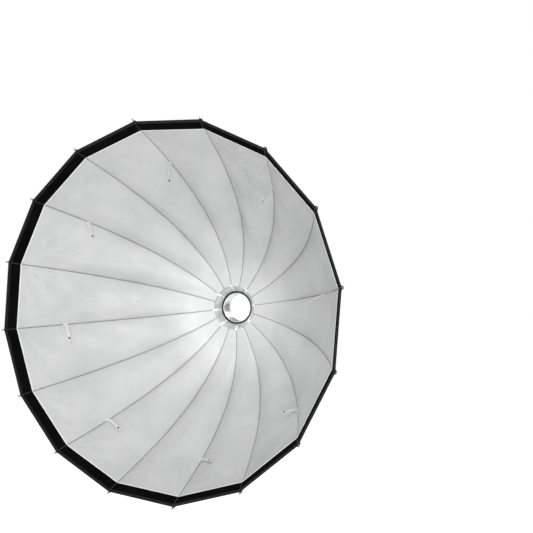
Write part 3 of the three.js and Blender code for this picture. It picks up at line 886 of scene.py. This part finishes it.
def rounded(outline, radius, steps=3):
    """A closed outline with each corner cut back and rounded."""
    points = np.asarray(outline, float)
    result = []
    for before, corner, after in zip(np.roll(points, 1, axis=0), points, np.roll(points, -1, axis=0)):
        into, out = corner - before, after - corner
        reach = min(radius, 0.4 * np.linalg.norm(into), 0.4 * np.linalg.norm(out))
        a = corner - into / np.linalg.norm(into) * reach
        b = corner + out / np.linalg.norm(out) * reach
        for t in np.linspace(0, 1, steps + 1):
            result.append((1 - t) ** 2 * a + 2 * t * (1 - t) * corner + t ** 2 * b)
    return np.array(result)


def hub_ring(name, outline, material, body, node, radius):
    """A turned ring that stands for one CAD node; radius rounds its edges."""
    piece = lathe_piece(name, rounded(outline, radius), material)
    sharp_edges(piece, 50)
    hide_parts(node)
    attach(piece, body)


def make_hub():
    """The lamp's tube and retainer, the clamping barrel, the grey collar, and the CAD rings that stay."""
    hub_ring("lamp_tube", [
        (0.056, 0.0117), (0.059, 0.0117), (0.059, 0.0578), (0.0572, 0.0578), (0.056, 0.0562),
    ], BRIGHT_METAL, "insert", "insert_tube", 0.0003)
    hub_ring("retainer", [
        (0.0594, 0.0446), (0.0649, 0.0446), (0.0649, 0.0590), (0.0594, 0.0590),
    ], BLACK_METAL, "insert", "retaining_ring", 0.0005)
    hub_ring("barrel", [
        (0.0602, 0.0122), (0.0758, 0.0122), (0.0778, 0.0142), (0.0778, 0.0175), (0.0768, 0.0183),
        (0.0768, 0.0195), (0.0778, 0.0203), (0.0778, 0.0385), (0.0768, 0.0393), (0.0768, 0.0405),
        (0.0778, 0.0413), (0.0778, 0.0438), (0.0602, 0.0438),
    ], BLACK_METAL, "hub", "housing_barrel", 0.0004)
    hub_ring("collar", [
        (0.0659, 0.0578), (0.0833, 0.0820), (0.0953, 0.0820), (0.0953, 0.0836), (0.0825, 0.0836),
        (0.0800, 0.0803), (0.0795, 0.0803), (0.0690, 0.0661), (0.0690, 0.0655), (0.0659, 0.0609),
    ], COLLAR_METAL, "hub", "front_collar", 0.0004)
    for node, material in (("rib_ring", BLACK_METAL), ("hinge_wire", STEEL), ("detent_spring", STEEL)):
        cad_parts[node].data.materials.clear()
        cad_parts[node].data.materials.append(material)


def make_insert_flange():
    """The bayonet flange: a turned plate with a shallow groove."""
    hub_ring("bayonet_flange", [
        (0.056, 0.0004), (0.0567, 0.0), (0.0615, 0.0), (0.0619, 0.0012), (0.0701, 0.0012), (0.0705, 0.0),
        (0.0752, 0.0), (0.076, 0.0008), (0.076, 0.0107), (0.0752, 0.0115), (0.056, 0.0115),
    ], BRIGHT_METAL, "insert", "insert_flange", 0.0003)


def make_lug(index):
    """One of the flange's three bayonet lugs, which taper off towards both ends."""
    middle = math.pi / 2 + index * 2 * math.pi / 3
    half_spread = 0.137  # of the lug's angle, in radians
    inner = 0.0745
    rings = []
    for offset in np.linspace(-half_spread, half_spread, 17):
        outer = inner + 0.0054 * (1 - 0.35 * (abs(offset) / half_spread) ** 6)
        outline = [
            (inner, 0.0), (outer - 0.0005, 0.0), (outer, 0.0005),
            (outer, 0.0036), (outer - 0.0006, 0.0042), (inner, 0.0042),
        ]
        rings.append(turned([(r * math.cos(offset), r * math.sin(offset), d) for r, d in outline], middle))
    lug = bar_piece(f"bayonet_lug_{index + 1}", np.array(rings), BRIGHT_METAL, flip=True)
    sharp_edges(lug, 35)
    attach(lug, "insert")


def make_screw(index):
    """One of the six countersunk screws in the flange's groove."""
    angle = math.pi / 6 + index * math.pi / 3
    seat = (
        turned([0.066, 0, 0.0012], angle), turned([1, 0, 0], angle),
        turned([0, 1, 0], angle), turned([0, 0, -1], angle),
    )
    screw = ring_piece(f"insert_screw_{index + 1}", seat, [
        (CENTRE_BORE, -0.0005), (0.0012, -0.0004), (0.0014, 0.0009), (0.0024, 0.0009),
        (0.0031, 0.0002), (0.0031, -0.0006), (CENTRE_BORE, -0.0007),
    ], BLACK_METAL)
    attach(screw, "insert")


def make_knob():
    """The clamp knob: six soft lobes, a dished cap, a threaded steel spindle and the boss round it."""
    axis_frame = (
        turned([0, 0, KNOB_DEPTH], KNOB_ANGLE), turned([0, 1, 0], KNOB_ANGLE),
        turned([0, 0, 1], KNOB_ANGLE), turned([1, 0, 0], KNOB_ANGLE),
    )
    centre, ahead, side, facing = axis_frame
    angles = turns_of(96)
    lobes = KNOB_RADIUS + 0.0011 * np.cos(6 * angles)
    spokes = np.cos(angles)[:, None] * ahead + np.sin(angles)[:, None] * side
    lobed = [
        (0.0840, 0.80), (0.0842, 0.93), (0.0850, 0.98), (0.0864, 1.0),
        (0.0950, 1.0), (0.0966, 0.98), (0.0976, 0.92), (0.0980, 0.84),
    ]
    dish = [(0.0976, 0.62), (0.0972, 0.55), (0.0972, 0.3)]
    rings = [centre + facing * height + spokes * (lobes * share)[:, None] for height, share in lobed]
    rings += [centre + facing * height + spokes * (KNOB_RADIUS * share) for height, share in dish]
    head = bar_piece("knob_head", np.array(rings), KNOB_PLASTIC)
    sharp_edges(head, 50)
    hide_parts("clamp_knob")
    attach(head, "knob")
    thread_pitch = 0.0014
    outline = [(CENTRE_BORE, 0.0599), (0.0030, 0.0599), (0.0034, 0.0606)]
    for turn in range(14):
        outline += [(0.0040, 0.0612 + turn * thread_pitch), (0.0035, 0.0619 + turn * thread_pitch)]
    outline += [(0.0038, 0.0815), (0.0060, 0.0818), (0.0060, 0.0841), (CENTRE_BORE, 0.0841)]
    spindle = ring_piece("knob_spindle", axis_frame, outline, STEEL)
    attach(spindle, "knob")
    boss = ring_piece("clamp_boss", axis_frame, rounded([
        (0.0046, 0.0765), (0.0085, 0.0765), (0.0082, 0.0805), (0.0046, 0.0805),
    ], 0.0006), BLACK_METAL, 48)
    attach(boss, "hub")


for gore in range(RIBS):
    make_lining(gore)
    make_shell(gore)
    make_lip_facing(gore)
    make_hem(gore)
    make_binding(gore)
    make_cross_seam(gore)
    make_seam(gore)
    make_lip_seam(gore)
    make_pocket(gore)
    make_rod(gore)
    make_shoe(gore)
    make_neck(gore)
for number in range(len(STRAP_LIES)):
    make_strap(number)
    make_tie(number)
make_hub()
make_insert_flange()
for number in range(3):
    make_lug(number)
for number in range(6):
    make_screw(number)
make_knob()


def away_from_bowl(azimuth, elevation):
    """The direction at an azimuth from the bowl's axis towards +X and an elevation, both in degrees."""
    turn, rise = math.radians(azimuth), math.radians(elevation)
    return Vector((math.sin(turn) * math.cos(rise), -math.cos(turn) * math.cos(rise), math.sin(rise)))


def make_camera():
    """The photograph's viewing angle and framing."""
    camera_data = bpy.data.cameras.new("camera")
    camera = bpy.data.objects.new("camera", camera_data)
    bpy.context.scene.collection.objects.link(camera)
    camera_data.sensor_width = 36
    camera_data.lens = CAMERA_LENS
    camera_data.shift_x, camera_data.shift_y = CAMERA_SHIFT
    camera.location = CAMERA_PLACE
    camera.rotation_mode = "QUATERNION"
    camera.rotation_quaternion = (-away_from_bowl(VIEW_AZIMUTH, VIEW_ELEVATION)).to_track_quat("-Z", "Y")
    bpy.context.scene.camera = camera


def soft_light(name, azimuth, elevation, power, size=1.6):
    """A round soft light that faces the bowl."""
    data = bpy.data.lights.new(name, "AREA")
    data.shape = "DISK"
    data.size = size
    data.energy = power
    light = bpy.data.objects.new(name, data)
    bpy.context.scene.collection.objects.link(light)
    away = away_from_bowl(azimuth, elevation)
    light.location = Vector(LIT_POINT) + LIGHT_DISTANCE * away
    light.rotation_mode = "QUATERNION"
    light.rotation_quaternion = (-away).to_track_quat("-Z", "Y")


def choose_for_camera(nodes, links, others, camera, surface):
    """Wires a surface that shows the camera one shader and lights the object with the other."""
    choice = nodes.new("ShaderNodeMixShader")
    links.new(nodes.new("ShaderNodeLightPath").outputs["Is Camera Ray"], choice.inputs["Fac"])
    links.new(others, choice.inputs[1])
    links.new(camera, choice.inputs[2])
    links.new(choice.outputs["Shader"], surface)


def floor_material():
    """Pale floor: to the camera it glows nearly white and takes only a faint shadow."""
    material, nodes, links, shader = start_material(
        "floor_white", Base_Color=(0.8, 0.8, 0.8, 1), Roughness=0.9, Specular_IOR_Level=0.0
    )
    glow = add_node(nodes, "ShaderNodeEmission", Color=(1, 1, 1, 1), Strength=0.96)
    dim = add_node(nodes, "ShaderNodeBsdfDiffuse", Color=(0.2, 0.2, 0.2, 1))
    seen = nodes.new("ShaderNodeAddShader")
    links.new(glow.outputs["Emission"], seen.inputs[0])
    links.new(dim.outputs["BSDF"], seen.inputs[1])
    surface = nodes["Material Output"].inputs["Surface"]
    choose_for_camera(nodes, links, shader.outputs["BSDF"], seen.outputs["Shader"], surface)
    return material


def make_stage():
    """The plain pale floor, and a world that the camera sees as white."""
    half = 30
    corners = [(x * half, y * half, FLOOR_HEIGHT) for x, y in ((-1, -1), (1, -1), (1, 1), (-1, 1))]
    mesh = bpy.data.meshes.new("floor")
    mesh.from_pydata(corners, [], [(0, 1, 2, 3)])
    mesh.materials.append(floor_material())
    floor = bpy.data.objects.new("floor", mesh)
    bpy.context.scene.collection.objects.link(floor)
    world = bpy.data.worlds.new("studio")
    world.use_nodes = True
    nodes, links = world.node_tree.nodes, world.node_tree.links
    ambient = nodes["Background"]
    set_sockets(ambient, {"Color": (1, 1, 1, 1), "Strength": AMBIENT})
    seen = add_node(nodes, "ShaderNodeBackground", Color=(1, 1, 1, 1), Strength=1.0)
    surface = nodes["World Output"].inputs["Surface"]
    choose_for_camera(nodes, links, ambient.outputs["Background"], seen.outputs["Background"], surface)
    bpy.context.scene.world = world
    bpy.context.scene.view_settings.view_transform = "Standard"


make_camera()
make_stage()
soft_light("key", 28, -6, 116, 1.2)
soft_light("front", 0, 0, 38)
soft_light("side", 50, -4, 18)
soft_light("top", 8, 38, 112)
soft_light("left", -25, -5, 12)
soft_light("rear", 150, 30, 150)
soft_light("rear_left", -140, 15, 90)
